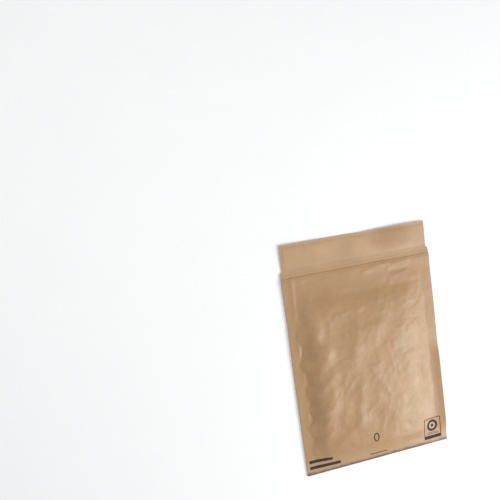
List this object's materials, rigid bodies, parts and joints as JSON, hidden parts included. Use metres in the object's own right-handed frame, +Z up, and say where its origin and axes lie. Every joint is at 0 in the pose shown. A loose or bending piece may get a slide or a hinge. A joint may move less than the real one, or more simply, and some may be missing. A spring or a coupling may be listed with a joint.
{
  "type": "padded envelope",
  "caption": "Kraft paper mailing envelope with cushioned panels, glued side seams, a pocket that opens at the front lip, and an open self-seal flap.",
  "frame": {"origin": "centre of the box's underside, on the surface that the back panel lies on", "axes": "+X across the envelope to the printed box's side, +Y from the bottom fold to the flap's free edge, +Z up out of the printed front panel"},
  "size_m": [0.178, 0.267, 0.0102],
  "materials": {
    "kraft_outer": "unbleached kraft paper with a slight calendered sheen",
    "kraft_inner": "matt unbleached kraft paper",
    "padding": "loose expanded cushioning",
    "glue": "dried adhesive",
    "adhesive": "tacky pressure-sensitive adhesive",
    "release_paper": "smooth silicone-coated kraft paper"
  },
  "bodies": {
    "root": {"outer_sheet": "kraft_outer", "inner_sheet": "kraft_inner", "front_padding": "padding", "back_padding": "padding", "front_ply_glue": "glue", "back_ply_glue": "glue", "left_seam_glue": "glue", "right_seam_glue": "glue", "seal_adhesive": "adhesive", "release_liner": "release_paper"}
  },
  "joints": []
}
